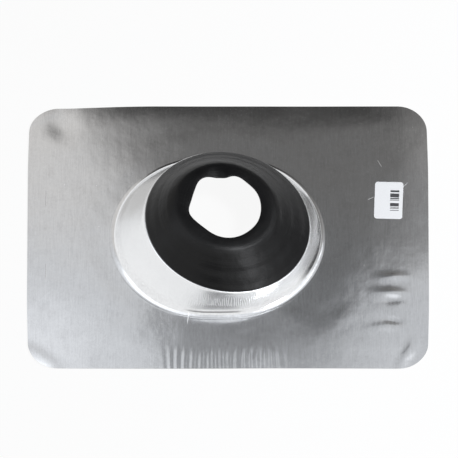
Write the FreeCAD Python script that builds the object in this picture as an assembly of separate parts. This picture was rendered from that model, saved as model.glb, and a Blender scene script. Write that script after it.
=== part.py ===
import FreeCAD, Part
import math
import os
from FreeCAD import Placement, Rotation, Vector

# Roof pipe flashing: a drawn aluminium base sheet with an offset, tilted stack, a moulded
# rubber collar that grips the stack's flange, and a small paper sticker on the sheet.
# Millimetres. +X runs up the roof slope, +Z is up, and the origin is the middle of the
# sheet's underside.

# ---- base sheet ----
sheet_length = 406.4          # up the slope, 16 in
sheet_width = 317.5           # across the slope, 12.5 in
sheet_thickness = 0.6
sheet_corner_radius = 30.5

# ---- drawn stack: a slotted foot that rises to a round, tilted rim ----
rim_radius = 85.0             # to the sharp corner of wall and flange
rim_centre_x = -0.5
rim_tilt = 8.26               # degrees, the rim faces this much up the slope
upslope_wall_height = 15.8    # underside of the sheet to the lowest point of the rim
downslope_wall_run = 31.4     # how far each wall spreads between rim and foot
upslope_wall_run = 11.4
side_wall_run = 7.0
foot_bend_radius = 4.5
rim_bend_radius = 1.2
foot_bend_steps = 4           # narrow bands that make up each bend
rim_bend_steps = 2
tightest_bend = 0.2           # the sheet's inner face is never bent tighter than this
flange_width = 8.0            # from the rim's sharp corner to the hole in the flange

# ---- rubber collar ----
bore_diameter = 73.0          # unstretched, for a nominal 3 in vent pipe
collar_wall = 2.4
collar_edge_height = 1.4      # plain outer edge that lies on the flange
skirt_height = 22.8           # rise of the cone above that edge
bore_lean = -6.4              # the bore sits this far down the slope of the rim's axis
neck_width = 22.5             # from the bore to the top of the skirt
neck_height = 3.0             # steep step between skirt and crown
neck_step_width = 2.7         # how far that step goes in
neck_rib = 1.6                # ledge inside, where the skirt meets the neck
crown_height = 3.4            # rise of the crown above the step
crown_top_width = 5.5         # from the bore to the highest ring of the crown
crown_steps = 4               # bands that make up the crown's round
lip_drop = 0.5                # the lip lies this far below that ring
lip_chamfer = 0.6
grip_depth = 2.0              # thickness of the lip under the flange
grip_width = 5.0              # how far that lip reaches under the flange
grip_root = 2.4               # rubber inside the flange hole
grip_chamfer = 0.8
seat_clearance = 0.05         # collar edge to the rim's bend, and grip lip to the flange
groove_clearance = 0.3        # bottom of the groove to the edge of the flange

# ---- paper sticker ----
label_length = 44.5           # across the slope
label_width = 28.6            # up the slope
label_thickness = 0.1
label_corner_radius = 3.0
label_edge_distance = 40.3    # middle of the sticker to the sheet's upper end
label_side_offset = 44.5      # middle of the sticker to the centre line
label_turn = -2.0             # degrees, stuck on slightly askew

# ---- worked out from the sizes above ----
tilt = math.radians(rim_tilt)
rim_height = upslope_wall_height + rim_radius * math.sin(tilt)
rim_frame = Placement(Vector(rim_centre_x, 0, rim_height), Rotation(Vector(0, 1, 0), rim_tilt))
foot_radius = rim_radius + side_wall_run
foot_low_centre = rim_centre_x - rim_radius * math.cos(tilt) - downslope_wall_run + foot_radius
foot_high_centre = rim_centre_x + rim_radius * math.cos(tilt) + upslope_wall_run - foot_radius
side_arc = math.atan2((foot_high_centre - foot_low_centre) / 2, foot_radius)
side_slope = math.atan2(rim_height - sheet_thickness, side_wall_run)
low_slope = math.atan2(rim_height + rim_radius * math.sin(tilt) - sheet_thickness, downslope_wall_run)
high_slope = math.atan2(upslope_wall_height - sheet_thickness, upslope_wall_run)
flange_hole_radius = rim_radius - flange_width

collar_radius = rim_radius - rim_bend_radius * math.tan(side_slope / 2) - seat_clearance
bore_radius = bore_diameter / 2
neck_radius = bore_radius + neck_width
skirt_slope = math.atan2(skirt_height, collar_radius - neck_radius)
skirt_wall_across = collar_wall / math.sin(skirt_slope)    # wall thickness measured level
neck_level = collar_edge_height + skirt_height
step_level = neck_level + neck_height
crown_level = step_level + crown_height


def corner_inset(bend):
    """How far a sharp corner moves in when both its faces move in by the sheet's thickness."""
    return sheet_thickness * math.tan(bend / 2)


def upright_edges(shape):
    """Edges that run along Z."""
    return [edge for edge in shape.Edges if abs(edge.tangentAt(edge.FirstParameter).z) > 0.9]


def arc_through(*points):
    """Arc edge through three points."""
    return Part.Arc(*points).toShape()


def foot_outline(side, low_end, high_end):
    """Slot outline round the foot. Each part is given as how far out it lies and its height."""
    (half_width, level), (low_x, low_z), (high_x, high_z) = side, low_end, high_end
    high_x += foot_high_centre
    low_x = foot_low_centre - low_x
    corners = [Vector(foot_high_centre, -half_width, level), Vector(foot_high_centre, half_width, level),
               Vector(foot_low_centre, half_width, level), Vector(foot_low_centre, -half_width, level)]
    return Part.Wire([arc_through(corners[0], Vector(high_x, 0, high_z), corners[1]),
                      Part.LineSegment(corners[1], corners[2]).toShape(),
                      arc_through(corners[2], Vector(low_x, 0, low_z), corners[3]),
                      Part.LineSegment(corners[3], corners[0]).toShape()])


def rim_outline(side, low_end, high_end):
    """Round outline in the rim's tilted frame, in four arcs that answer the foot's four edges."""
    def point(angle, place):
        radius, level = place
        return rim_frame.multVec(Vector(radius * math.cos(angle), radius * math.sin(angle), level))

    quarter = math.pi / 2
    corners = [point(-quarter + side_arc, side), point(quarter - side_arc, side),
               point(quarter + side_arc, side), point(-quarter - side_arc, side)]
    return Part.Wire([arc_through(corners[0], point(0, high_end), corners[1]),
                      arc_through(corners[1], point(quarter, side), corners[2]),
                      arc_through(corners[2], point(math.pi, low_end), corners[3]),
                      arc_through(corners[3], point(-quarter, side), corners[0])])


def bend_points(radius, bend, steps):
    """Points round a bend, from the tangent on the level side, as run and rise from its corner."""
    tangent = radius * math.tan(bend / 2)
    angles = [bend * step / steps for step in range(steps + 1)]
    return [(tangent - radius * math.sin(angle), radius * (1 - math.cos(angle))) for angle in angles]


def stack_form(inset, foot_bend_radius, top_bend_radius):
    """The stack as a solid, from the foot's bend over the wall to the rim's bend.

    Inset is 0 for the outside. At 1 every face lies one sheet thickness further in.
    """
    foot_level = sheet_thickness * (1 - inset)
    foot_bends = [side_slope, low_slope, high_slope]
    rim_bends = [side_slope, low_slope + tilt, high_slope - tilt]
    foot_rounds = [bend_points(foot_bend_radius, bend, foot_bend_steps) for bend in foot_bends]
    rim_rounds = [bend_points(top_bend_radius, bend, rim_bend_steps) for bend in rim_bends]
    sections = []
    for step in range(foot_bend_steps + 1):
        places = [(foot_radius - inset * corner_inset(bend) + points[step][0], foot_level + points[step][1])
                  for bend, points in zip(foot_bends, foot_rounds)]
        sections.append(foot_outline(*places))
    for step in range(rim_bend_steps, -1, -1):
        places = [(rim_radius - inset * corner_inset(bend) - points[step][0],
                   -inset * sheet_thickness - points[step][1])
                  for bend, points in zip(rim_bends, rim_rounds)]
        sections.append(rim_outline(*places))
    return Part.makeLoft(sections, True, True)


def make_flashing_base():
    """Base sheet and drawn stack in one even thickness, with the hole in the stack's flange."""
    sheet = Part.makeBox(sheet_length, sheet_width, sheet_thickness,
                         Vector(-sheet_length / 2, -sheet_width / 2, 0))
    sheet = sheet.makeFillet(sheet_corner_radius, upright_edges(sheet))
    outside = stack_form(0, foot_bend_radius, rim_bend_radius)
    inner_rim_bend = max(rim_bend_radius - sheet_thickness, tightest_bend)
    inside = stack_form(1, foot_bend_radius + sheet_thickness, inner_rim_bend)
    hole = Part.makeCylinder(flange_hole_radius, 4 * rim_height, Vector(0, 0, -2 * rim_height))
    hole.Placement = rim_frame
    return sheet.fuse(outside).cut(inside).cut(hole)


def revolved(segments, centre_x):
    """Solid of revolution about an upright axis, from a closed outline in the XZ plane."""
    face = Part.Face(Part.Wire([segment.toShape() for segment in segments]))
    face.translate(Vector(centre_x, 0, 0))
    return face.revolve(Vector(centre_x, 0, 0), Vector(0, 0, 1), 360)


def closed_lines(corners):
    """Straight segments round a closed outline given by radius and level."""
    points = [Vector(radius, 0, level) for radius, level in corners]
    return [Part.LineSegment(start, end) for start, end in zip(points, points[1:] + points[:1])]


def collar_grip():
    """Ring that holds the flange in a groove: edge on top, root in the hole, lip below."""
    root = flange_hole_radius - groove_clearance
    inner = root - grip_root
    outer = flange_hole_radius + grip_width
    under = -sheet_thickness - seat_clearance
    bottom = under - grip_depth
    bead = (collar_radius - skirt_wall_across / 2 - grip_depth, collar_edge_height + grip_depth)
    return revolved(closed_lines([
        (inner, bottom), (outer - grip_chamfer, bottom), (outer, bottom + grip_chamfer), (outer, under),
        (root, under), (root, 0), (collar_radius, 0),
        (collar_radius, collar_edge_height), bead, (inner, collar_edge_height)]), 0)


def circle_wire(radius, centre_x, level):
    """Level circle as a wire."""
    return Part.Wire([Part.Circle(Vector(centre_x, 0, level), Vector(0, 0, 1), radius).toShape()])


def skirt_inside():
    """Inside of the skirt: a cone on a tilted axis, which follows the outside as that leans."""
    bottom = collar_radius - skirt_wall_across
    top = neck_radius - skirt_wall_across
    low_side = Vector(bore_lean - top + bottom, 0, skirt_height).normalize()
    high_side = Vector(bore_lean + top - bottom, 0, skirt_height).normalize()
    low_spread = low_side.x / low_side.z
    apex_rise = 2 * bottom / (low_spread - high_side.x / high_side.z)
    apex = Vector(apex_rise * low_spread - bottom, 0, collar_edge_height + apex_rise)
    down = (low_side + high_side) * -1
    half_angle = low_side.getAngle(high_side) / 2
    cone = Part.makeCone(0, 2 * apex_rise * math.tan(half_angle), 2 * apex_rise, apex, down)
    slab = Part.makeBox(4 * collar_radius, 4 * collar_radius, skirt_height,
                        Vector(-2 * collar_radius, -2 * collar_radius, collar_edge_height))
    return cone.common(slab)


def collar_skirt():
    """Leaning cone between the plain edge and the neck."""
    outside = Part.makeLoft([circle_wire(collar_radius, 0, collar_edge_height),
                             circle_wire(neck_radius, bore_lean, neck_level)], True, True)
    return outside.cut(skirt_inside())


def collar_crown():
    """Neck step, rounded crown and the lip round the bore, turned about the bore's own axis."""
    neck = Vector(neck_radius, 0, neck_level)
    step = Vector(neck_radius - neck_step_width, 0, step_level)
    top = Vector(bore_radius + crown_top_width, 0, crown_level)
    lip = Vector(bore_radius + lip_chamfer, 0, crown_level - lip_drop)
    arc = Part.ArcOfCircle(step, top, lip)
    inner_share = (arc.Radius - collar_wall) / arc.Radius

    def inward(point):
        return arc.Center + (point - arc.Center) * inner_share

    turn = (arc.LastParameter - arc.FirstParameter) / crown_steps
    crown = [arc.value(arc.FirstParameter + turn * count) for count in range(crown_steps + 1)]
    if crown[0].x < crown[-1].x:
        crown.reverse()
    lip_below = inward(lip)
    outline = [neck] + crown + [
        Vector(bore_radius, 0, lip.z - lip_chamfer), Vector(bore_radius, 0, lip_below.z + lip_chamfer),
        lip_below, inward(top), inward(step),
        Vector(neck_radius - skirt_wall_across - neck_rib, 0, neck_level)]
    return revolved(closed_lines([(point.x, point.z) for point in outline]), bore_lean)


def make_pipe_collar():
    """The moulded collar, one piece of rubber, seated on the tilted rim."""
    collar = collar_grip().fuse([collar_skirt(), collar_crown()])
    collar.Placement = rim_frame
    return collar


def make_paper_label():
    """Thin rounded rectangle lying on the sheet."""
    label = Part.makeBox(label_width, label_length, label_thickness,
                         Vector(-label_width / 2, -label_length / 2, 0))
    label = label.makeFillet(label_corner_radius, upright_edges(label))
    middle = Vector(sheet_length / 2 - label_edge_distance, label_side_offset, sheet_thickness)
    label.Placement = Placement(middle, Rotation(Vector(0, 0, 1), label_turn))
    return label


os.makedirs("parts", exist_ok=True)
for name, shape in (("flashing_base", make_flashing_base()),
                    ("pipe_collar", make_pipe_collar()),
                    ("paper_label", make_paper_label())):
    shape.exportStep("parts/" + name + ".step")
    print(name, "valid", shape.isValid(), "solids", len(shape.Solids), "volume", round(shape.Volume, 1))
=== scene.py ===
import bpy
import math
import numpy as np
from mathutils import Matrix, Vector


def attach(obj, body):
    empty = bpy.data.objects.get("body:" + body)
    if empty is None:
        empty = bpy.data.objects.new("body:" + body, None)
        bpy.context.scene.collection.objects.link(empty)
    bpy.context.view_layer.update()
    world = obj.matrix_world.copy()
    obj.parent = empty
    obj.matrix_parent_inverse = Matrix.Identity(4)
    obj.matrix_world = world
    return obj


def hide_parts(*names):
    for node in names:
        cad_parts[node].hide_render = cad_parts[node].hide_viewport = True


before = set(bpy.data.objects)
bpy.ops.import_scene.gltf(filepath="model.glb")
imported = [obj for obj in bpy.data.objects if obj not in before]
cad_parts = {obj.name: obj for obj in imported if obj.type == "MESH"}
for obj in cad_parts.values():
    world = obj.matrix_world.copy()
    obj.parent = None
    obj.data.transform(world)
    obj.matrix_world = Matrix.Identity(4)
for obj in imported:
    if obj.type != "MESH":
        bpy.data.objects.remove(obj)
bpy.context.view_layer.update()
metres = 0.001                                                 # shapes are worked out in millimetres


# small helpers for surfaces

def smoothStep(low, high, values):
    # 0 below low, 1 above high, and 3t^2 - 2t^3 between
    share = np.clip((values - low) / (high - low), 0, 1)
    return share * share * (3 - 2 * share)


def bell(values, centre, width):
    # e to the minus half the squared distance from the centre, measured in widths
    return np.exp(-0.5 * ((values - centre) / width) ** 2)


def lobe(x, y, place, size, turn):
    # bell over the plane: e to the minus half the squared distance, in two half widths along turned axes
    angle = math.radians(turn)
    along = (x - place[0]) * math.cos(angle) + (y - place[1]) * math.sin(angle)
    across = (y - place[1]) * math.cos(angle) - (x - place[0]) * math.sin(angle)
    return np.exp(-0.5 * ((along / size[0]) ** 2 + (across / size[1]) ** 2))


def angleLobe(angles, centre, width):
    # bell round a circle, in degrees, taking the short way round
    gap = (angles - centre + 180) % 360 - 180
    return bell(gap, 0, width)


def gridNormals(grid):
    # unit cross product of the steps along the rows and round the columns
    alongRows = np.gradient(grid, axis=0)
    roundColumns = (np.roll(grid, -1, axis=1) - np.roll(grid, 1, axis=1)) / 2
    normals = np.cross(alongRows, roundColumns)
    return normals / np.linalg.norm(normals, axis=2, keepdims=True)


def gridPiece(name, grid, attributes, sharpAngle, closeRows=True):
    # columns wrap round; rows wrap too, or the first and last row are each closed by one face
    rows, columns = grid.shape[:2]
    index = np.arange(rows * columns).reshape(rows, columns)
    here = index if closeRows else index[:-1]
    below = np.roll(index, -1, axis=0) if closeRows else index[1:]
    quads = [here, np.roll(here, -1, axis=1), np.roll(below, -1, axis=1), below]
    quads = np.stack(quads, axis=-1).reshape(-1, 4)
    points = grid.reshape(-1, 3) * metres
    corners = points[quads]
    volume = np.einsum("ij,ij->", corners[:, 0], np.cross(corners[:, 1], corners[:, 2]))
    volume += np.einsum("ij,ij->", corners[:, 0], np.cross(corners[:, 2], corners[:, 3]))
    faces = quads.tolist()
    if not closeRows:
        faces += [index[0][::-1].tolist(), index[-1].tolist()]
    if volume < 0:                                             # faces that look inwards are turned over
        faces = [face[::-1] for face in faces]
    mesh = bpy.data.meshes.new(name)
    mesh.from_pydata(points.tolist(), [], faces)
    for label, values in attributes.items():
        layer = mesh.attributes.new(label, "FLOAT", "POINT")
        layer.data.foreach_set("value", np.broadcast_to(values, (rows, columns)).astype(np.float32).ravel())
    mesh.shade_smooth()
    mesh.set_sharp_from_angle(angle=math.radians(sharpAngle))
    mesh.validate()
    piece = bpy.data.objects.new(name, mesh)
    bpy.context.collection.objects.link(piece)
    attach(piece, "root")
    return piece


# small helpers for node trees

def addNode(tree, kind, **settings):
    node = tree.nodes.new(kind)
    for key, value in settings.items():
        setattr(node, key, value)
    return node


def feed(tree, socket, value):
    # a socket is linked, anything else is typed in
    if isinstance(value, bpy.types.NodeSocket):
        tree.links.new(value, socket)
    else:
        socket.default_value = value


def mathNode(tree, operation, *values):
    node = addNode(tree, "ShaderNodeMath", operation=operation)
    for socket, value in zip(node.inputs, values):
        feed(tree, socket, value)
    return node.outputs[0]


def plus(tree, total, *others):
    for value in others:
        total = mathNode(tree, "ADD", total, value)
    return total


def times(tree, product, *others):
    for value in others:
        product = mathNode(tree, "MULTIPLY", product, value)
    return product


def minus(tree, first, second):
    return mathNode(tree, "SUBTRACT", first, second)


def farFrom(tree, value, place):
    # distance from a place along one line
    return mathNode(tree, "ABSOLUTE", minus(tree, value, place))


def rangeNode(tree, value, low, high, outLow=0.0, outHigh=1.0):
    # smooth step from outLow where the value is low to outHigh where it is high
    node = addNode(tree, "ShaderNodeMapRange", interpolation_type="SMOOTHSTEP")
    for socket, given in zip(node.inputs, (value, low, high, outLow, outHigh)):
        feed(tree, socket, given)
    return node.outputs[0]


def fromMask(tree, mask, outside, inside):
    # one level where the mask is 0, another where it is 1
    return rangeNode(tree, mask, 0.0, 1.0, outside, inside)


def mixColour(tree, share, first, second):
    node = addNode(tree, "ShaderNodeMix", data_type="RGBA")
    feed(tree, node.inputs["Factor"], share)
    feed(tree, node.inputs[6], first)
    feed(tree, node.inputs[7], second)
    return node.outputs[2]


def placeParts(tree):
    # object coordinates in millimetres, as three separate sockets
    coordinates = addNode(tree, "ShaderNodeTexCoord")
    scaled = addNode(tree, "ShaderNodeVectorMath", operation="SCALE")
    tree.links.new(coordinates.outputs["Object"], scaled.inputs[0])
    scaled.inputs["Scale"].default_value = 1 / metres
    parts = addNode(tree, "ShaderNodeSeparateXYZ")
    tree.links.new(scaled.outputs[0], parts.inputs[0])
    return parts.outputs[0], parts.outputs[1], parts.outputs[2]


def newGroup(name, inputs, outputs):
    group = bpy.data.node_groups.new(name, "ShaderNodeTree")
    for label, value in inputs.items():
        socket = group.interface.new_socket(label, in_out="INPUT", socket_type="NodeSocketFloat")
        socket.default_value = value
    for label in outputs:
        group.interface.new_socket(label, in_out="OUTPUT", socket_type="NodeSocketFloat")
    return group, addNode(group, "NodeGroupInput").outputs, addNode(group, "NodeGroupOutput").inputs


def useGroup(tree, group, **values):
    node = addNode(tree, "ShaderNodeGroup", node_tree=group)
    for label, value in values.items():
        feed(tree, node.inputs[label.replace("_", " ")], value)
    return node.outputs


def stretchedNoise(tree, spacings, detail=2.0, roughness=0.5, shift=0.0):
    # noise whose grains measure the three given spacings in millimetres
    joined = addNode(tree, "ShaderNodeCombineXYZ")
    for socket, part, spacing in zip(joined.inputs, placeParts(tree), spacings):
        feed(tree, socket, plus(tree, mathNode(tree, "DIVIDE", part, spacing), shift))
    noise = addNode(tree, "ShaderNodeTexNoise", noise_dimensions="3D")
    tree.links.new(joined.outputs[0], noise.inputs["Vector"])
    for label, value in (("Scale", 1.0), ("Detail", detail), ("Roughness", roughness)):
        feed(tree, noise.inputs[label], value)
    return noise.outputs["Fac"]


def makePatchGroup():
    # soft patches: fractal noise lifted through a smooth threshold
    inputs = {"Spacing": 20.0, "Level": 0.5, "Softness": 0.15, "Shift": 0.0}
    group, given, result = newGroup("softPatches", inputs, ["Mask"])
    noise = stretchedNoise(group, (given["Spacing"],) * 3, detail=5.0, roughness=0.6, shift=given["Shift"])
    low = minus(group, given["Level"], given["Softness"])
    high = plus(group, given["Level"], given["Softness"])
    feed(group, result["Mask"], rangeNode(group, noise, low, high))
    return group


def makeGrainGroup():
    # fine grain, longer one way than the other, as a height and as a mask
    inputs = {"Width": 0.8, "Length": 25.0, "Shift": 0.0}
    group, given, result = newGroup("drawnOutGrain", inputs, ["Height", "Mask"])
    spacings = (given["Width"], given["Length"], given["Width"])
    noise = stretchedNoise(group, spacings, detail=3.0, roughness=0.65, shift=given["Shift"])
    feed(group, result["Height"], noise)
    feed(group, result["Mask"], rangeNode(group, noise, 0.35, 0.65))
    return group


def makeSpeckGroup():
    # scattered specks: near the middle of a cell, where the cell's own random value is high enough
    group, given, result = newGroup("specks", {"Spacing": 12.0, "Size": 0.05, "Share": 0.2}, ["Mask"])
    joined = addNode(group, "ShaderNodeCombineXYZ")
    for socket, part in zip(joined.inputs, placeParts(group)):
        feed(group, socket, mathNode(group, "DIVIDE", part, given["Spacing"]))
    cells = addNode(group, "ShaderNodeTexVoronoi", feature="F1")
    group.links.new(joined.outputs[0], cells.inputs["Vector"])
    cells.inputs["Scale"].default_value = 1
    near = rangeNode(group, cells.outputs["Distance"], given["Size"], times(group, given["Size"], 0.5))
    pick = addNode(group, "ShaderNodeSeparateColor")
    group.links.new(cells.outputs["Color"], pick.inputs[0])
    chosen = mathNode(group, "LESS_THAN", pick.outputs[0], given["Share"])
    feed(group, result["Mask"], times(group, near, chosen))
    return group


def makeScratchGroup():
    # one straight hairline between two points: 1 on the line, fading over its width and at both ends
    startFade, endFadeShare = 0.5, 0.4                         # millimetres, and a share of the length
    inputs = {"Start X": 0.0, "Start Y": 0.0, "End X": 10.0, "End Y": 0.0, "Width": 0.4}
    group, given, result = newGroup("hairline", inputs, ["Mask"])
    x, y, _ = placeParts(group)
    runX = minus(group, given["End X"], given["Start X"])
    runY = minus(group, given["End Y"], given["Start Y"])
    length = mathNode(group, "SQRT", plus(group, times(group, runX, runX), times(group, runY, runY)))
    fromX = minus(group, x, given["Start X"])
    fromY = minus(group, y, given["Start Y"])
    along = plus(group, times(group, fromX, runX), times(group, fromY, runY))
    along = mathNode(group, "DIVIDE", along, length)
    across = minus(group, times(group, fromX, runY), times(group, fromY, runX))
    across = mathNode(group, "DIVIDE", across, length)
    beside = rangeNode(group, mathNode(group, "ABSOLUTE", across), given["Width"], 0.0)
    started = rangeNode(group, along, -startFade, startFade)
    ended = rangeNode(group, minus(group, length, along), -startFade, times(group, length, endFadeShare))
    feed(group, result["Mask"], times(group, beside, times(group, started, ended)))
    return group


softPatches = makePatchGroup()
drawnOutGrain = makeGrainGroup()
specks = makeSpeckGroup()
hairline = makeScratchGroup()
print("node groups ready")


def newMaterial(name, **constants):
    material = bpy.data.materials.new(name)
    material.use_nodes = True
    tree = material.node_tree
    shader = tree.nodes["Principled BSDF"]
    for label, value in constants.items():
        shader.inputs[label.replace("_", " ")].default_value = value
    return material, tree, shader


def bumpChain(tree, layers, shader):
    # each layer is a height socket and how many metres a height of 1 stands for
    normal = None
    for height, depth in layers:
        bump = addNode(tree, "ShaderNodeBump")
        bump.inputs["Strength"].default_value = 1
        bump.inputs["Distance"].default_value = depth
        tree.links.new(height, bump.inputs["Height"])
        if normal is not None:
            tree.links.new(normal, bump.inputs["Normal"])
        normal = bump.outputs[0]
    tree.links.new(normal, shader.inputs["Normal"])


# base sheet with its drawn stack, in millimetres and degrees

baseSheet = {
    "length": 406.4, "width": 317.5, "thickness": 0.6, "cornerRadius": 30.5, "edgeRound": 0.12,
    "rimRadius": 85.0, "rimCentreX": -0.5, "rimTilt": 8.26, "rimHeight": 28.01,
    "footRadius": 92.0, "footLowCentre": -24.02, "footHighCentre": 3.02,
    "footBend": 7.5, "rimBend": 1.2, "flangeHole": 77.0, "wallHollow": 0.5,
    "columns": 640, "flatRings": 40, "wallRings": 9, "bendRings": 6,
    "flangeRings": (0, 0.02, 0.5),                             # shares of the way from hole to bend
    "closeRings": (0.35, 0.7, 1.05, 1.4, 1.8, 2.4),            # out from the foot's bend, for the die's mark
    "ringCrowding": 0.4,                                       # 0 spaces the flat's rings evenly
    "dieMarkPlace": 1.0, "dieMarkWidth": 0.38, "dieMarkLeast": 0.02, "dieMarkMore": 0.06,
    "dieMarkBearing": -92, "dieMarkSpread": 42,
    "waveMean": 0.35, "waveHeights": (0.2, 0.15), "waveBend": 1.3, "waveLengths": (37, 61, 29, 53),
    "calmStretch": 1.12, "calmReach": (96, 128),               # the sheet stays flat this close to the stack
    "sideTrim": 3.2, "sideTrimX": (-70, -190), "sideTrimY": (110, 158),
    "endTrim": 1.5, "endTrimX": (150, 203), "endTrimY": (70, 158),
}
footMiddle = (baseSheet["footLowCentre"] + baseSheet["footHighCentre"]) / 2

# shallow swells and small dents: middle, half widths, turn and height, in millimetres and degrees
swells = [
    ((-140, 128), (42, 24), 28, 1.0), ((-170, 134), (10, 11), 0, -1.0), ((-188, 150), (17, 3.5), 32, 0.7),
    ((-95, 80), (18, 9), 40, 0.3), ((-60, 150), (50, 16), 0, 0.8), ((40, 128), (30, 20), -10, 0.4),
    ((130, 140), (40, 18), 12, 0.8), ((185, 105), (22, 40), 0, 0.6), ((-190, -146), (18, 5), -38, 0.8),
    ((-110, -118), (20, 12), 8, 0.5), ((-40, -104), (9, 9), 0, 0.3), ((8, -100), (11, 9), 0, 0.35),
    ((90, -125), (34, 16), 15, 0.5), ((30, -140), (16, 12), 0, 0.4), ((66, -92), (12, 9), -35, 0.25),
    ((118, -96), (12, 8), 25, 0.25), ((190, -60), (18, 34), 0, 0.6), ((167, -48), (8, 2.9), 2, 0.75),
    ((165, -67), (9, 3.0), -3, 0.8), ((166, -77), (9, 2.4), 6, -0.4), ((168, -101), (8, 3.0), -14, -0.6),
    ((160, -108), (12, 3.2), 8, 0.45), ((175, -141), (10, 2.6), 62, -0.8), ((183, -137), (11, 3.2), 60, 0.85),
    ((150, -128), (16, 8), 0, 0.3),
]


def sheetLift(x, y):
    # a mean, a sine along the sheet with bent crests and a slanted one across it, plus the swells above,
    # never below 0 and times a smooth step that is 0 by the stack
    part = baseSheet
    alongHeight, acrossHeight = part["waveHeights"]
    alongLength, bendLength, acrossLength, slantLength = part["waveLengths"]
    along = alongHeight * np.sin(x / alongLength + part["waveBend"] * np.sin(y / bendLength))
    across = acrossHeight * np.sin(y / acrossLength + x / slantLength)
    waves = part["waveMean"] + along + across
    lift = waves + sum(height * lobe(x, y, place, size, turn) for place, size, turn, height in swells)
    away = np.hypot((x - footMiddle) / part["calmStretch"], y)
    return np.maximum(lift, 0) * smoothStep(*part["calmReach"], away)


def footOutline(angles):
    # slot outline: two half circles and two straight sides, met by the rim's angle
    low, high, radius = (baseSheet[key] for key in ("footLowCentre", "footHighCentre", "footRadius"))
    sideArc = math.atan2((high - low) / 2, radius)
    quarter = math.pi / 2
    signed = (angles + math.pi) % (2 * math.pi) - math.pi
    fold = np.abs(signed)                                      # 0 up the slope, pi down the slope
    upShare = np.clip(fold / (quarter - sideArc), 0, 1)
    downShare = np.clip((fold - quarter - sideArc) / (quarter - sideArc), 0, 1)
    sideShare = np.clip((fold - quarter + sideArc) / (2 * sideArc), 0, 1)
    turn = quarter * (upShare + downShare)
    outward = np.stack([np.cos(turn), np.sign(signed) * np.sin(turn), 0 * turn], axis=-1)
    points = outward * radius
    points[..., 0] += high + (low - high) * sideShare
    return points, outward


def rimPoints(angles, radius, level, lean=0.0):
    # circle in the rim's tilted frame: out by radius, up by level along the rim's own axis
    tilt = math.radians(baseSheet["rimTilt"])
    outX = radius * np.cos(angles) + lean
    return np.stack([baseSheet["rimCentreX"] + outX * math.cos(tilt) + level * math.sin(tilt),
                     radius * np.sin(angles) + 0 * outX,
                     baseSheet["rimHeight"] - outX * math.sin(tilt) + level * math.cos(tilt)], axis=-1)


def sheetEdge(direction, origin):
    # where a level ray from the origin meets the rounded rectangle, found by halving the interval
    longestRay, halvings = 600.0, 40
    halfX, halfY, corner = baseSheet["length"] / 2, baseSheet["width"] / 2, baseSheet["cornerRadius"]
    near = np.zeros(direction.shape[0])
    far = np.full(direction.shape[0], longestRay)
    for halving in range(halvings):
        middle = (near + far) / 2
        spot = origin[:2] + direction[:, :2] * middle[:, None]
        past = np.abs(spot) - np.array([halfX - corner, halfY - corner])
        outside = np.hypot(*np.maximum(past, 0).T) + np.minimum(past.max(axis=1), 0) > corner
        far = np.where(outside, middle, far)
        near = np.where(outside, near, middle)
    return origin[:2] + direction[:, :2] * near[:, None]


def bendRows(radius, turn):
    # round a bend from its level side: run = r tan(a/2) - r sin(t a), rise = r - r cos(t a)
    shares = np.linspace(0, 1, baseSheet["bendRings"])[:, None]
    return radius * (np.tan(turn / 2) - np.sin(shares * turn)), radius * (1 - np.cos(shares * turn))


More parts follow.
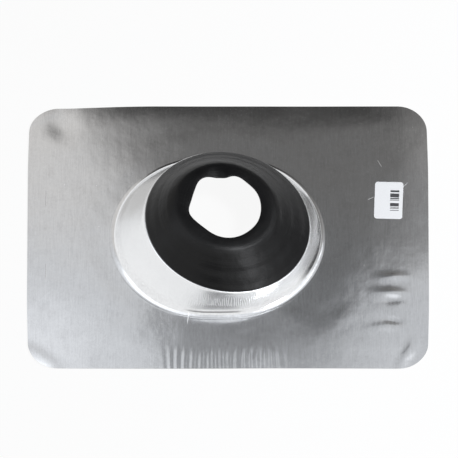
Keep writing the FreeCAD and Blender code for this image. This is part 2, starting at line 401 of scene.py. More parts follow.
def makeFlashingBase():
    # rings of points, from the hole in the flange over the rim's bend, down the wall, round the foot's bend
    # and out to the edge; the wall is rim + (foot - rim) t, less a parabola 4 h t (1 - t) along its normal,
    # and the underside is the top less the thickness along the normals
    part = baseSheet
    columns, thickness, rounding = part["columns"], part["thickness"], part["edgeRound"]
    angles = np.arange(columns) * 2 * math.pi / columns
    tilt = math.radians(part["rimTilt"])
    rimAxis = np.array([math.sin(tilt), 0, math.cos(tilt)])
    footCorner, outward = footOutline(angles)
    footCorner[:, 2] = thickness
    rimCorner = rimPoints(angles, part["rimRadius"], 0)
    rimSpoke = rimCorner - rimPoints(angles, 0, 0)
    rimSpoke /= np.linalg.norm(rimSpoke, axis=1, keepdims=True)
    alongFoot = np.roll(footCorner, -1, axis=0) - np.roll(footCorner, 1, axis=0)
    wallNormal = np.cross(alongFoot, rimCorner - footCorner)
    wallNormal /= np.linalg.norm(wallNormal, axis=1, keepdims=True)
    footTurn = np.arccos(np.clip(wallNormal[:, 2], -1, 1))
    rimTurn = np.arccos(np.clip(wallNormal @ rimAxis, -1, 1))

    runs, rises = bendRows(part["rimBend"], rimTurn)
    rimBend = rimCorner - runs[..., None] * rimSpoke - rises[..., None] * rimAxis
    runs, rises = bendRows(part["footBend"], footTurn)
    footBend = footCorner + runs[..., None] * outward + rises[..., None] * np.array([0, 0, 1])
    holeEdge = rimPoints(angles, part["flangeHole"], 0)
    flange = np.stack([holeEdge + (rimBend[0] - holeEdge) * share for share in part["flangeRings"]])
    shares = np.linspace(0, 1, part["wallRings"] + 2)[1:-1, None, None]
    wall = rimBend[-1] + (footBend[-1] - rimBend[-1]) * shares
    wall -= 4 * part["wallHollow"] * shares * (1 - shares) * wallNormal    # drawn slightly hollow
    footBend = footBend[::-1]

    tangent = footBend[-1]
    origin = np.array([footMiddle, 0, 0])
    spokes = tangent - origin
    spokes[:, 2] = 0
    spokes /= np.linalg.norm(spokes, axis=1, keepdims=True)
    edge = np.column_stack([sheetEdge(spokes, origin), np.full(columns, thickness)])
    reach = np.linalg.norm(edge - tangent, axis=1, keepdims=True)
    close = np.array(part["closeRings"])[:, None, None]
    steps = np.linspace(0, 1, part["flatRings"] + 1)[1:, None, None]
    crowding = part["ringCrowding"]
    steps = (1 - crowding) * steps + crowding * steps ** 2     # closer together by the stack
    distances = np.concatenate([close + 0 * reach, close[-1] + (reach - close[-1]) * steps])
    flat = tangent + (edge - tangent) / reach * distances
    inner = edge - spokes * rounding
    flat = np.concatenate([flat[:-1], inner[None], edge[None]])

    top = np.concatenate([flange, rimBend, wall, footBend, flat])
    wallStart = len(flange) + len(rimBend)
    wallEnd = wallStart + len(wall)
    flatStart = wallEnd + len(footBend)
    wallShare = np.zeros(top.shape[:2])                        # 1 by the rim, 0 from the foot outwards
    wallShare[:wallStart] = 1
    wallShare[wallStart:wallEnd] = np.linspace(1, 0, len(wall))[:, None]
    x, y = top[..., 0], top[..., 1]
    top[..., 2] += sheetLift(x, y)
    # the shear left the corners a little short of the nominal outline
    top[..., 1] -= part["sideTrim"] * smoothStep(*part["sideTrimX"], x) * smoothStep(*part["sideTrimY"], y)
    endShare = smoothStep(*part["endTrimX"], np.abs(x)) * np.sign(x)
    top[..., 0] -= part["endTrim"] * endShare * smoothStep(*part["endTrimY"], np.abs(y))
    # the die leaves a faint ring just outside the foot's bend, clearest on the side that faces -y
    side = angleLobe(np.degrees(angles), part["dieMarkBearing"], part["dieMarkSpread"])
    fromBend = np.concatenate([distances, distances[-1:]])[..., 0]
    ring = bell(fromBend, part["dieMarkPlace"], part["dieMarkWidth"])
    top[flatStart:, :, 2] += (part["dieMarkLeast"] + part["dieMarkMore"] * side) * ring

    normals = gridNormals(top)
    normals *= np.sign(normals[-2, :, 2].mean())               # upwards on the flat
    bottom = top - thickness * normals
    bottom[-1] = top[-1] - normals[-1] * (thickness - rounding)
    top[-1] -= normals[-1] * rounding
    grid = np.concatenate([top, bottom[::-1]])
    share = np.concatenate([wallShare, wallShare[::-1]])
    piece = gridPiece("flashing_base_visual", grid, {"wallShare": share}, sharpAngle=30)
    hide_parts("flashing_base")
    return piece


# depths are in metres, spacings and places in millimetres, bearings in radians
aluminiumLook = {
    "colour": (0.85, 0.86, 0.87, 1), "colourWorn": (0.71, 0.715, 0.725, 1),
    "colourMarked": (0.93, 0.93, 0.93, 1), "wornLeast": 0.6, "wornOnWall": 0.3, "wallEdge": (0.0, 0.2),
    "roughness": 0.115, "roughPatch": 0.05, "roughScratch": 0.2, "roughWall": 0.1, "roughDot": 0.3,
    "hazeDepth": 0.00030, "grainDepth": 0.000010, "scratchDepth": 0.00008,
    "wrinkleDepth": 0.00007, "wrinkleTurns": 250.0, "wrinkleWobble": 9.0,
    "wrinkleBearing": -1.5, "wrinkleSpread": (0.75, 0.25), "wrinkleHeight": (0.95, 0.5),
    "streakDepth": 0.00007, "streakSpacing": 8.0, "streakWobble": 7.0,
    "streakRow": (-128.0, -146.0), "streakMiddle": -2.0, "streakReach": (72.0, 48.0),
}

# short bright scratches: start, end and width in millimetres
scratches = [
    ((-39.5, -92), (-41.5, -106), 0.5), ((142, 45.5), (149, 49), 0.5), ((178, 61), (183, 66), 0.5),
    ((-184, 56), (-184.6, 33), 0.5), ((-184, -33), (-184.6, -56), 0.5), ((152, 93), (157, 83), 0.35),
]


def makeAluminium():
    material, tree, shader = newMaterial("millAluminium", Metallic=1.0)
    look = aluminiumLook
    x, y, _ = placeParts(tree)
    grain = useGroup(tree, drawnOutGrain, Width=0.7, Length=28.0)
    haze = useGroup(tree, softPatches, Spacing=60.0, Level=0.5, Softness=0.3)
    finePatches = useGroup(tree, softPatches, Spacing=14.0, Level=0.55, Softness=0.2, Shift=9.0)
    dots = useGroup(tree, specks, Spacing=17.0, Size=0.035, Share=0.35)
    broadGrain = useGroup(tree, drawnOutGrain, Width=1.2, Length=22.0, Shift=5.0)
    mottle = useGroup(tree, softPatches, Spacing=2.6, Level=0.5, Softness=0.25, Shift=2.0)
    share = addNode(tree, "ShaderNodeAttribute", attribute_name="wallShare").outputs["Fac"]
    onWall = rangeNode(tree, share, *look["wallEdge"])
    worn = plus(tree, times(tree, broadGrain["Mask"], 0.5), times(tree, mottle["Mask"], 0.5))
    worn = times(tree, worn, fromMask(tree, finePatches["Mask"], look["wornLeast"], 1.0))
    worn = times(tree, worn, fromMask(tree, onWall, 1.0, look["wornOnWall"]))   # drawing polishes the wall
    scratched = None
    for start, end, width in scratches:
        mask = useGroup(tree, hairline, Start_X=start[0], Start_Y=start[1],
                        End_X=end[0], End_Y=end[1], Width=width)["Mask"]
        scratched = mask if scratched is None else mathNode(tree, "MAXIMUM", scratched, mask)
    colour = mixColour(tree, worn, look["colour"], look["colourWorn"])
    colour = mixColour(tree, mathNode(tree, "MAXIMUM", scratched, dots["Mask"]), colour, look["colourMarked"])
    feed(tree, shader.inputs["Base Color"], colour)

    roughness = plus(tree, look["roughness"], times(tree, haze["Mask"], look["roughPatch"]))
    roughness = plus(tree, roughness, times(tree, scratched, look["roughScratch"]))
    roughness = plus(tree, roughness, times(tree, onWall, look["roughWall"]))
    feed(tree, shader.inputs["Roughness"], plus(tree, roughness, times(tree, dots["Mask"], look["roughDot"])))

    # draw wrinkles run up the wall's lower part and are strongest on the side that faces -y
    bearing = mathNode(tree, "ARCTAN2", y, minus(tree, x, footMiddle))
    wobble = stretchedNoise(tree, (6.0, 6.0, 10.0), detail=1.0, shift=1.0)
    phase = plus(tree, times(tree, bearing, look["wrinkleTurns"]), times(tree, wobble, look["wrinkleWobble"]))
    frontFace = rangeNode(tree, farFrom(tree, bearing, look["wrinkleBearing"]), *look["wrinkleSpread"])
    lowWall = times(tree, onWall, rangeNode(tree, share, *look["wrinkleHeight"]))
    wrinkles = times(tree, mathNode(tree, "SINE", phase), times(tree, frontFace, lowWall))
    # ripples along the long edge at -y
    bow = stretchedNoise(tree, (34.0, 60.0, 50.0), detail=1.0, shift=6.0)
    phase = times(tree, x, 2 * math.pi / look["streakSpacing"])
    phase = plus(tree, phase, times(tree, bow, look["streakWobble"]))
    edgeBand = times(tree, rangeNode(tree, y, *look["streakRow"]),
                     rangeNode(tree, farFrom(tree, x, look["streakMiddle"]), *look["streakReach"]))
    streaks = times(tree, mathNode(tree, "SINE", phase), edgeBand)
    marks = minus(tree, 0.0, scratched)
    wander = stretchedNoise(tree, (26.0, 34.0, 40.0), detail=3.0, roughness=0.45, shift=4.0)
    bumpChain(tree, [(wander, look["hazeDepth"]), (grain["Height"], look["grainDepth"]),
                     (wrinkles, look["wrinkleDepth"]), (streaks, look["streakDepth"]),
                     (marks, look["scratchDepth"])], shader)
    return material


flashingBase = makeFlashingBase()
flashingBase.data.materials.append(makeAluminium())
print("base sheet ready:", len(flashingBase.data.polygons), "faces")


# rubber collar, in millimetres

rubberCollar = {
    "outerRadius": 84.0, "edgeHeight": 1.4, "skirtHeight": 22.8, "boreRadius": 36.5, "boreLean": -6.4,
    "neckRadius": 59.0, "stepRadius": 56.3, "stepHeight": 3.0, "crownHeight": 3.4, "crownRadius": 42.0,
    "lipDrop": 0.5, "wall": 2.4, "crownWall": 2.3, "lipThickness": 1.7,
    "flangeHole": 77.0, "gripWidth": 5.0, "gripDepth": 2.0, "gripRoot": 2.4, "sheet": 0.6, "gap": 0.05,
    "rootGap": 0.3, "columns": 560, "cornerPoints": 5, "sectionSpacing": 1.6,
    "lipReach": 7.5, "lipBand": 2, "crownSink": 0.25, "crownBand": 4,
    "sagThree": 0.35, "sagThreeTurn": 0.7, "sagFive": 0.25, "sagFiveTurn": 2.0, "sagShare": 0.8,
    "mouldLineRadius": 67.0, "mouldLineHeight": 0.16, "mouldLineWidth": 0.7, "mouldLineAbove": 8,
    "skirtRipple": 0.16, "rippleStart": 61.5, "rippleSpacing": 10.4, "rippleBend": 0.5,
    "rippleEdge": (60, 64), "rippleAbove": 1.8,
}

# how the unstretched lip wanders: bearing, spread, outward shift and rise, in degrees and millimetres
lipWander = [
    (128, 13, 2.4, 0.2), (103, 8, -1.2, -1.8), (89, 6, -2.6, 0.6), (71, 11, 1.8, 1.0),
    (35, 14, 0.8, 0.3), (-5, 14, -0.3, -0.4), (-48, 12, -0.2, 0.3), (-85, 20, 1.8, -0.2),
    (-127, 12, -0.9, 0.4), (-163, 11, 2.0, -0.3), (170, 13, -2.0, 0.4), (150, 9, -0.9, 0.0),
]

# patches where the rubber is left darker with less dust: bearing, spread, radius, reach and strength; the two
# above the bore (bearing 92) and to its left (bearing 168) are painted shade standing in for dark
# reflections, the others thinner dust
bareAndShadedPatches = [
    (92, 22, 50, 5, 1.0), (168, 17, 55, 7, 0.9), (-155, 24, 62, 6, 0.5), (-20, 26, 77, 8, 0.9),
    (-100, 14, 44, 4, 0.4), (-115, 20, 78, 6, 0.7),
]


def roundCorner(before, corner, after):
    # points on a small curve that replaces a corner: a quadratic through the two tangent points, as far from
    # the corner as its third value says
    reach = corner[2]
    before, corner, after = (np.array(point[:2], float) for point in (before, corner, after))
    first = corner + (before - corner) / np.linalg.norm(before - corner) * reach
    last = corner + (after - corner) / np.linalg.norm(after - corner) * reach
    shares = np.linspace(0, 1, rubberCollar["cornerPoints"])[:, None]
    return (1 - shares) ** 2 * first + 2 * shares * (1 - shares) * corner + shares ** 2 * last


def collarSection():
    # corners of the section, as radius, level and rounding, from the outer edge over the top and back below
    part = rubberCollar
    outer, edge, neck, step = part["outerRadius"], part["edgeHeight"], part["neckRadius"], part["stepRadius"]
    crown, bore = part["crownRadius"], part["boreRadius"]
    neckLevel = edge + part["skirtHeight"]
    stepLevel = neckLevel + part["stepHeight"]
    crownLevel = stepLevel + part["crownHeight"]
    lipLevel = crownLevel - part["lipDrop"]
    wallAcross = part["wall"] / math.sin(math.atan2(part["skirtHeight"], outer - neck))
    root = part["flangeHole"] - part["rootGap"]
    inner = root - part["gripRoot"]
    under = -part["sheet"] - part["gap"]
    gripLevel = under - part["gripDepth"]
    grip = part["flangeHole"] + part["gripWidth"]
    corners = [
        (outer, 0.0, 0.3), (outer, edge, 0.7),                                        # edge on the flange
        (neck + 0.4, neckLevel - 0.3, 2.2), (step - 1.8, stepLevel + 0.8, 3.2),       # neck and shoulder
        (step - 6.0, crownLevel - 0.6, 3.2), (crown, crownLevel, 3.0),                # crown
        (bore, lipLevel, 0.75), (bore, lipLevel - part["lipThickness"], 0.75),        # lip
        (crown, crownLevel - part["crownWall"], 2.0), (step - 6.9, crownLevel - 2.9, 2.4),    # inside
        (step - 2.0, stepLevel - 1.7, 1.6), (neck - wallAcross, neckLevel - 0.6, 1.4),
        (inner, edge + 1.4, 1.2), (inner, gripLevel, 0.4), (grip, gripLevel, 0.9),    # grip
        (grip, under, 0.3), (root, under, 0.2), (root, 0.0, 0.2),                     # groove
    ]
    return corners, neckLevel, stepLevel


def makePipeCollar():
    # the rounded section, turned about the rim's axis: x = r cos a + lean, y = r sin a, z = level, where the
    # lean grows in step with the level up the skirt; bells and sines move the lip, crown and skirt
    part = rubberCollar
    section, neckLevel, stepLevel = collarSection()
    profile = []
    for place in range(len(section)):
        before, corner, after = section[place - 1], section[place], section[(place + 1) % len(section)]
        bend = roundCorner(before, corner, after)
        profile.append(bend)
        extra = int(np.linalg.norm(np.array(after[:2]) - np.array(corner[:2])) // part["sectionSpacing"])
        if extra:
            end = roundCorner(corner, after, section[(place + 2) % len(section)])[0]
            profile.append(bend[-1] + (end - bend[-1]) * np.linspace(0, 1, extra + 2)[1:-1, None])
    profile = np.concatenate(profile)
    radius, level = profile[:, 0:1], profile[:, 1:2]
    lean = part["boreLean"] * np.clip((level - part["edgeHeight"]) / part["skirtHeight"], 0, 1)
    angles = np.arange(part["columns"])[None] * 2 * math.pi / part["columns"]
    degrees = np.degrees(angles)
    # the lip wanders most at the bore and hardly at all by the step
    near = np.exp(-((radius - part["boreRadius"]) / part["lipReach"]) ** 2)
    near = near * (level > stepLevel - part["lipBand"])
    outward = sum(shift * angleLobe(degrees, bearing, spread) for bearing, spread, shift, rise in lipWander)
    upward = sum(rise * angleLobe(degrees, bearing, spread) for bearing, spread, shift, rise in lipWander)
    # the crown sags in three and in five places
    sag = part["sagThree"] * np.sin(3 * angles + part["sagThreeTurn"])
    sag = sag + part["sagFive"] * np.sin(5 * angles + part["sagFiveTurn"])
    onCrown = smoothStep(part["neckRadius"], part["crownRadius"], radius)
    onCrown = onCrown * (level > neckLevel - part["crownBand"])
    risen = level + upward * near + sag * onCrown * part["sagShare"] - part["crownSink"] * onCrown
    # the mould's parting line, and slow ripples of the skirt's outside
    mouldShare = np.exp(-((radius - part["mouldLineRadius"]) / part["mouldLineWidth"]) ** 2)
    mouldLine = part["mouldLineHeight"] * mouldShare * (level > part["mouldLineAbove"])
    onSkirt = smoothStep(*part["rippleEdge"], radius) * (level > part["rippleAbove"])
    phase = 2 * math.pi * (radius - part["rippleStart"]) / part["rippleSpacing"]
    ripple = part["skirtRipple"] * np.sin(phase + part["rippleBend"] * np.sin(angles - 1)) * onSkirt
    grid = rimPoints(angles, radius + outward * near, risen + mouldLine + ripple, lean)
    # share of painted shade (dark reflections) and thinner dust, from the patches listed above
    bareAndShaded = sum(strength * angleLobe(degrees, bearing, spread) * bell(radius, place, reach)
                for bearing, spread, place, reach, strength in bareAndShadedPatches)
    attributes = {"ringRadius": radius, "bareAndShaded": np.clip(bareAndShaded, 0, 1)}
    piece = gridPiece("pipe_collar_visual", grid, attributes, sharpAngle=60)
    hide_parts("pipe_collar")
    return piece


# depths are in metres; the least values are how much dust is left between its patches and rings
rubberLook = {
    "colour": (0.0022, 0.0022, 0.0026, 1), "dust": (0.045, 0.045, 0.042, 1), "dustAmount": 0.11,
    "patchLeast": 0.25, "ringLeast": 0.4, "fineLeast": 0.45, "bareAndShadedAmount": 0.9, "dotAmount": 0.9,
    "specular": 0.21, "sheen": 0.04, "sheenRoughness": 0.5, "roughness": 0.28, "dustRoughness": 0.3,
    "ringsPerMillimetre": 0.8, "ringEdges": (0.3, 0.7),
    "ringDepth": 0.00008, "patchDepth": 0.00055, "poreDepth": 0.0001,
}


def makeRubber():
    look = rubberLook
    material, tree, shader = newMaterial("mouldedRubber", Metallic=0.0, Specular_IOR_Level=look["specular"],
                                         Sheen_Weight=look["sheen"], Sheen_Roughness=look["sheenRoughness"])
    ring = addNode(tree, "ShaderNodeAttribute", attribute_name="ringRadius").outputs["Fac"]
    bareAndShaded = addNode(tree, "ShaderNodeAttribute", attribute_name="bareAndShaded").outputs["Fac"]
    turned = addNode(tree, "ShaderNodeTexNoise", noise_dimensions="1D")
    feed(tree, turned.inputs["W"], times(tree, ring, look["ringsPerMillimetre"]))
    turned.inputs["Scale"].default_value = 1
    turned.inputs["Detail"].default_value = 3
    rings = turned.outputs["Fac"]
    patches = useGroup(tree, softPatches, Spacing=17.0, Level=0.48, Softness=0.2)["Mask"]
    finePatches = useGroup(tree, softPatches, Spacing=1.4, Level=0.55, Softness=0.2, Shift=3.0)["Mask"]
    dots = useGroup(tree, specks, Spacing=9.0, Size=0.045, Share=0.25)["Mask"]
    dusty = times(tree, fromMask(tree, patches, look["patchLeast"], 1.0),
                  rangeNode(tree, rings, *look["ringEdges"], look["ringLeast"], 1.0))
    dusty = times(tree, dusty, fromMask(tree, finePatches, look["fineLeast"], 1.0))
    # less dust, so darker rubber, in those patches: painted shade (dark reflections) above and left of the
    # bore, thinner dust elsewhere
    dusty = times(tree, dusty, minus(tree, 1.0, times(tree, bareAndShaded, look["bareAndShadedAmount"])), look["dustAmount"])
    dusty = mathNode(tree, "MAXIMUM", dusty, times(tree, dots, look["dotAmount"]))
    feed(tree, shader.inputs["Base Color"], mixColour(tree, dusty, look["colour"], look["dust"]))
    roughness = plus(tree, look["roughness"], times(tree, dusty, look["dustRoughness"]))
    feed(tree, shader.inputs["Roughness"], roughness)
    wander = stretchedNoise(tree, (15.0, 15.0, 15.0), detail=3.0, shift=7.0)
    pores = stretchedNoise(tree, (0.9, 0.9, 0.9), detail=3.0)
    layers = [(wander, look["patchDepth"]), (rings, look["ringDepth"]), (pores, look["poreDepth"])]
    bumpChain(tree, layers, shader)
    return material


pipeCollar = makePipeCollar()
pipeCollar.data.materials.append(makeRubber())
print("collar ready:", len(pipeCollar.data.polygons), "faces")


# paper sticker, in millimetres and degrees

paperLabel = {
    "alongSlope": 28.6, "acrossSlope": 44.5, "thickness": 0.1, "cornerRadius": 3.0,
    "middle": (162.9, 44.5), "turn": -2.0, "clearOfSheet": 0.01,
    "cornerSteps": 10, "rings": 8, "smallestRing": 0.04,
}


def makePaperLabel():
    # rounded rectangle outline, drawn in towards its middle ring by ring and laid on the sheet's own swells
    part = paperLabel
    steps = part["cornerSteps"]
    quarter = np.linspace(0, math.pi / 2, steps)
    bearings = np.concatenate([quarter + turn * math.pi / 2 for turn in range(4)])
    signs = np.repeat(np.array([(1, 1), (-1, 1), (-1, -1), (1, -1)]), steps, axis=0)
    half = np.array([part["alongSlope"], part["acrossSlope"]]) / 2 - part["cornerRadius"]
    outline = signs * half + part["cornerRadius"] * np.stack([np.cos(bearings), np.sin(bearings)], axis=1)
    between = (outline + np.roll(outline, -1, axis=0)) / 2
    outline = np.stack([outline, between], axis=1).reshape(-1, 2)
    shares = np.linspace(part["smallestRing"], 1, part["rings"])[:, None, None]
    turn = math.radians(part["turn"])
    spin = np.array([[math.cos(turn), math.sin(turn)], [-math.sin(turn), math.cos(turn)]])
    spots = outline * shares @ spin + np.array(part["middle"])
    lift = sheetLift(spots[..., 0], spots[..., 1]) + baseSheet["thickness"]
    top = np.concatenate([spots, (lift + part["thickness"])[..., None]], axis=2)
    bottom = np.concatenate([spots, (lift + part["clearOfSheet"])[..., None]], axis=2)[::-1]
    piece = gridPiece("paper_label_visual", np.concatenate([top, bottom]), {}, sharpAngle=60, closeRows=False)
    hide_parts("paper_label")
    return piece


# the bars fill a box on the sticker: middle and half size along the slope, half size across it
paperLook = {
    "white": (0.86, 0.865, 0.875, 1), "shaded": (0.81, 0.815, 0.825, 1), "ink": (0.06, 0.06, 0.065, 1),
    "roughness": 0.55, "specular": 0.4, "fibreDepth": 0.00001,
    "barsPerMillimetre": 1.3, "barLevel": 0.45, "barMiddle": 6.0, "barHalf": 4.5, "barRowHalf": 13.0,
}


def makePaper():
    look = paperLook
    material, tree, shader = newMaterial("labelPaper", Metallic=0.0, Roughness=look["roughness"],
                                         Specular_IOR_Level=look["specular"])
    x, y, _ = placeParts(tree)
    turn = math.radians(paperLabel["turn"])
    fromX = minus(tree, x, paperLabel["middle"][0])
    fromY = minus(tree, y, paperLabel["middle"][1])
    along = plus(tree, times(tree, fromX, math.cos(turn)), times(tree, fromY, math.sin(turn)))
    across = minus(tree, times(tree, fromY, math.cos(turn)), times(tree, fromX, math.sin(turn)))
    bars = addNode(tree, "ShaderNodeTexWhiteNoise", noise_dimensions="1D")
    feed(tree, bars.inputs["W"], mathNode(tree, "FLOOR", times(tree, across, look["barsPerMillimetre"])))
    dark = mathNode(tree, "GREATER_THAN", bars.outputs["Value"], look["barLevel"])
    inBars = mathNode(tree, "LESS_THAN", farFrom(tree, along, look["barMiddle"]), look["barHalf"])
    inRow = mathNode(tree, "LESS_THAN", mathNode(tree, "ABSOLUTE", across), look["barRowHalf"])
    inked = times(tree, dark, times(tree, inBars, inRow))
    fibre = useGroup(tree, softPatches, Spacing=1.2, Level=0.5, Softness=0.3)["Mask"]
    paper = mixColour(tree, fibre, look["white"], look["shaded"])
    feed(tree, shader.inputs["Base Color"], mixColour(tree, inked, paper, look["ink"]))
    bumpChain(tree, [(fibre, look["fibreDepth"])], shader)
    return material


label = makePaperLabel()
label.data.materials.append(makePaper())
print("sticker ready")


# floor, light and camera, in metres; the camera's lens is in millimetres and its angle in degrees

studio = {
    "floorHalf": 4, "floorLevel": -0.0004, "floorWhite": 0.86, "floorShare": 0.92, "roomLight": 0.13,
    "warm": (1.0, 0.975, 0.95, 1), "cool": (0.965, 0.985, 1.02, 1),
    "cameraRaised": 56.6, "cameraTarget": (0.00101, 0.0072, 0.0047), "cameraDistance": 20,
    "cameraLens": 1552.4, "cameraSensor": 36, "lampTarget": (0, 0, 0.02),
}

lamps = {
    "lowLamp": {"place": (1.02, 0.42, 1.05), "size": 0.3, "power": 7.0},
    "highLamp": {"place": (0.72, -0.34, 1.42), "size": 0.3, "power": 15.0},
    "softLamp": {"place": (1.07, -0.92, 0.95), "size": 0.45, "power": 4.0},
}


def flatPiece(name, corners):
    mesh = bpy.data.meshes.new(name)
    mesh.from_pydata(corners, [], [(0, 1, 2, 3)])
    piece = bpy.data.objects.new(name, mesh)
    bpy.context.collection.objects.link(piece)
    return piece


def seenDirectly(tree):
    # 1 for rays from the camera and for mirrored or refracted ones
    rays = addNode(tree, "ShaderNodeLightPath").outputs
    mirrored = mathNode(tree, "MAXIMUM", rays["Is Glossy Ray"], rays["Is Transmission Ray"])
    return mathNode(tree, "MAXIMUM", rays["Is Camera Ray"], mirrored)


def makeFloor():
    half, level = studio["floorHalf"], studio["floorLevel"]
    corners = [(-half, -half, level), (half, -half, level), (half, half, level), (-half, half, level)]
    floor = flatPiece("floor", corners)
    material, tree, shader = newMaterial("paleFloor", Roughness=0.9, Specular_IOR_Level=0.1)
    shader.inputs["Base Color"].default_value = (studio["floorWhite"],) * 3 + (1,)
    glow = addNode(tree, "ShaderNodeEmission")
    mix = addNode(tree, "ShaderNodeMixShader")
    feed(tree, mix.inputs[0], times(tree, seenDirectly(tree), studio["floorShare"]))
    tree.links.new(shader.outputs[0], mix.inputs[1])
    tree.links.new(glow.outputs[0], mix.inputs[2])
    tree.links.new(mix.outputs[0], tree.nodes["Material Output"].inputs["Surface"])
    floor.data.materials.append(material)


def makeWorld():
    # white to look at, and dim as a light
    world = bpy.data.worlds.new("studioRoom")
    bpy.context.scene.world = world
    world.use_nodes = True
    tree = world.node_tree
    tree.nodes.clear()
    white, room = addNode(tree, "ShaderNodeBackground"), addNode(tree, "ShaderNodeBackground")
    white.inputs["Color"].default_value = (1, 1, 1, 1)
    room.inputs["Color"].default_value = (1, 1, 1, 1)
    room.inputs["Strength"].default_value = studio["roomLight"]
    mix, output = addNode(tree, "ShaderNodeMixShader"), addNode(tree, "ShaderNodeOutputWorld")
    feed(tree, mix.inputs[0], seenDirectly(tree))
    tree.links.new(room.outputs[0], mix.inputs[1])
    tree.links.new(white.outputs[0], mix.inputs[2])
    tree.links.new(mix.outputs[0], output.inputs["Surface"])


def mirrorCard(name, finish, corners):
    # a glowing card that only mirror rays meet, given back as its node tree and its emission's inputs
    card = flatPiece(name, corners)
    card.visible_camera = False
    card.visible_diffuse = False
    card.visible_shadow = False
    card.visible_transmission = False
    material, tree, shader = newMaterial(finish)
    glow = addNode(tree, "ShaderNodeEmission")
    tree.links.new(glow.outputs[0], tree.nodes["Material Output"].inputs["Surface"])
    card.data.materials.append(material)
    return tree, glow.inputs


# in metres, then brightnesses, then slants and places in millimetres, where a pair starts and ends a step
overheadCard = {
    "height": 0.42, "backShare": 0.659, "halfWidth": 1.2, "reachNear": 0.5, "reachFar": 0.9,
    "dark": 0.158, "back": 0.052, "left": 0.70, "front": 0.31, "frontCorner": 0.62, "farFront": 0.5,
    "rightMore": 0.16, "windowMore": 0.3, "shadeLess": 0.10, "leftCornerMore": 0.22,
    "leftSlant": (0.9, 0.45), "leftEdge": (-118.0, 0.0), "backEdge": (95.0, 175.0),
    "rightEdge": (140.0, 240.0), "frontEdge": (-120.0, -94.0), "farFrontEdge": (-165.0, -240.0),
    "frontMiddle": 94.0, "frontCurve": 68.0, "frontDip": 90.0,
    "frontLeft": (-72.0, -58.0), "frontRight": (60.0, 180.0),
    "windowMiddle": 28.0, "windowSide": (26.0, 6.0), "windowEdge": (-110.0, -135.0),
    "shadeMiddle": 9.0, "shadeSide": (32.0, 6.0), "shadeEdge": (-138.0, -116.0),
    "leftCornerX": (-125.0, -190.0), "leftCornerY": (-60.0, -130.0), "warmToCool": (130.0, -110.0),
}


def makeOverheadCard():
    # a card over and behind the sheet, which the flat metal mirrors: dark in the middle, lighter down the
    # slope and towards the front
    card = overheadCard
    height, half = card["height"], card["halfWidth"]
    back = height * card["backShare"]                          # how far back mirrored rays go on the way up
    near, far = back - card["reachNear"], back + card["reachFar"]
    corners = [(-half, near, height), (half, near, height), (half, far, height), (-half, far, height)]
    tree, glow = mirrorCard("overheadCard", "greyCard", corners)
    x, y, _ = placeParts(tree)
    overY = minus(tree, y, back / metres)
    # the middle, between its slanted left edge, its dark back and its lighter right side
    slantX, slantY = card["leftSlant"]
    slanted = plus(tree, times(tree, x, slantX), times(tree, overY, slantY))
    right = rangeNode(tree, slanted, *card["leftEdge"])
    dark = plus(tree, rangeNode(tree, overY, *card["backEdge"], card["dark"], card["back"]),
                rangeNode(tree, x, *card["rightEdge"], 0.0, card["rightMore"]))
    middle = plus(tree, times(tree, right, dark), times(tree, minus(tree, 1.0, right), card["left"]))
    # the front, before an edge that runs back as a parabola on both sides
    fromMiddle = minus(tree, x, card["frontMiddle"])
    dip = mathNode(tree, "DIVIDE", times(tree, fromMiddle, fromMiddle), card["frontCurve"])
    dip = mathNode(tree, "MINIMUM", dip, card["frontDip"])
    behind = rangeNode(tree, minus(tree, overY, dip), *card["frontEdge"])
    frontGlow = plus(tree, rangeNode(tree, x, *card["frontLeft"], card["left"], card["front"]),
                     rangeNode(tree, x, *card["frontRight"], 0.0, card["frontCorner"] - card["front"]))
    window = farFrom(tree, x, card["windowMiddle"])
    window = rangeNode(tree, window, *card["windowSide"], 0.0, card["windowMore"])
    frontGlow = plus(tree, frontGlow, times(tree, window, rangeNode(tree, overY, *card["windowEdge"])))
    frontGlow = plus(tree, frontGlow, rangeNode(tree, overY, *card["farFrontEdge"], 0.0, card["farFront"]))
    shade = farFrom(tree, x, card["shadeMiddle"])
    shade = rangeNode(tree, shade, *card["shadeSide"], 0.0, card["shadeLess"])
    frontGlow = minus(tree, frontGlow, times(tree, shade, rangeNode(tree, overY, *card["shadeEdge"])))
    # both are lighter in the front left corner
    corner = times(tree, rangeNode(tree, x, *card["leftCornerX"], 0.0, card["leftCornerMore"]),
                   rangeNode(tree, overY, *card["leftCornerY"]))
    middle = plus(tree, middle, corner)
    frontGlow = plus(tree, frontGlow, corner)
    strength = plus(tree, times(tree, middle, behind), times(tree, minus(tree, 1.0, behind), frontGlow))
    feed(tree, glow["Strength"], strength)
    tint = rangeNode(tree, overY, *card["warmToCool"])
    feed(tree, glow["Color"], mixColour(tree, tint, studio["warm"], studio["cool"]))


# both flags: corners in metres, then greys, then pairs of millimetres where they start and end
frontFlag = {
    "left": -0.5, "right": 0.3, "y": -1, "bottom": 0.08, "top": 0.74, "lowGrey": 0.8, "highGrey": 0.26,
    "greyLevels": (150.0, 520.0), "middle": -90.0, "fadedEnds": (160.0, 380.0),
}
sideFlag = {
    "x": 1.6, "front": -0.5, "back": 2.6, "bottom": 0, "top": 2.0, "lowGrey": 0.02, "highGrey": 0.8,
    "greyLevels": (180.0, 420.0), "fadedFront": (100.0, -500.0),
}


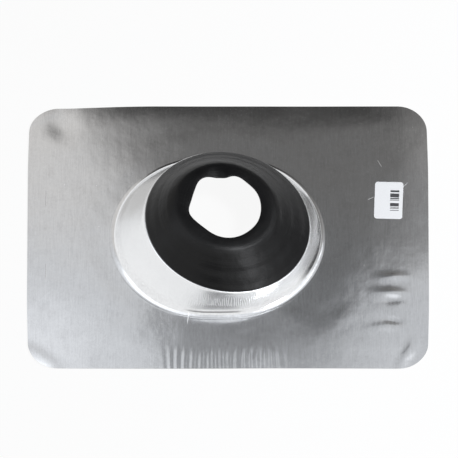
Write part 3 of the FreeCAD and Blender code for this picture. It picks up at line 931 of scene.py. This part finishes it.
def makeFrontFlag():
    # a grey flag in front, darker towards its top, mirrored by the straight side of the stack
    flag = frontFlag
    left, right, y, bottom, top = (flag[key] for key in ("left", "right", "y", "bottom", "top"))
    corners = [(left, y, bottom), (right, y, bottom), (right, y, top), (left, y, top)]
    tree, glow = mirrorCard("frontFlag", "greyFlag", corners)
    x, _, z = placeParts(tree)
    grey = rangeNode(tree, z, *flag["greyLevels"], flag["lowGrey"], flag["highGrey"])
    faded = rangeNode(tree, farFrom(tree, x, flag["middle"]), *flag["fadedEnds"])
    feed(tree, glow["Strength"], plus(tree, grey, times(tree, faded, minus(tree, 1.0, grey))))


def makeSideFlag():
    # a dark flag far to the right, behind the lamps: lighter above 0.3 m, and fading out towards the front
    flag = sideFlag
    x, front, back, bottom, top = (flag[key] for key in ("x", "front", "back", "bottom", "top"))
    corners = [(x, front, bottom), (x, back, bottom), (x, back, top), (x, front, top)]
    tree, glow = mirrorCard("sideFlag", "darkFlag", corners)
    _, y, z = placeParts(tree)
    grey = rangeNode(tree, z, *flag["greyLevels"], flag["lowGrey"], flag["highGrey"])
    faded = rangeNode(tree, y, *flag["fadedFront"])
    feed(tree, glow["Strength"], plus(tree, grey, times(tree, faded, minus(tree, 1.0, grey))))


def addLamp(name, place, size, power):
    lamp = bpy.data.lights.new(name, "AREA")
    lamp.shape = "SQUARE"
    lamp.size = size
    lamp.energy = power
    lamp.color = studio["cool"][:3]
    holder = bpy.data.objects.new(name, lamp)
    holder.location = place
    holder.rotation_euler = (Vector(studio["lampTarget"]) - Vector(place)).to_track_quat("-Z", "Y").to_euler()
    bpy.context.collection.objects.link(holder)


def addCamera():
    # a long lens from in front and above
    raised = math.radians(studio["cameraRaised"])
    towards = Vector((0, math.cos(raised), -math.sin(raised)))
    camera = bpy.data.cameras.new("studioCamera")
    camera.sensor_width = studio["cameraSensor"]
    camera.lens = studio["cameraLens"]
    holder = bpy.data.objects.new("studioCamera", camera)
    holder.location = Vector(studio["cameraTarget"]) - towards * studio["cameraDistance"]
    holder.rotation_euler = towards.to_track_quat("-Z", "Y").to_euler()
    bpy.context.collection.objects.link(holder)
    bpy.context.scene.camera = holder


makeFloor()
makeWorld()
makeOverheadCard()
makeFrontFlag()
makeSideFlag()
for name, values in lamps.items():
    addLamp(name, **values)
addCamera()
bpy.context.scene.view_settings.view_transform = "Standard"
print("studio ready")
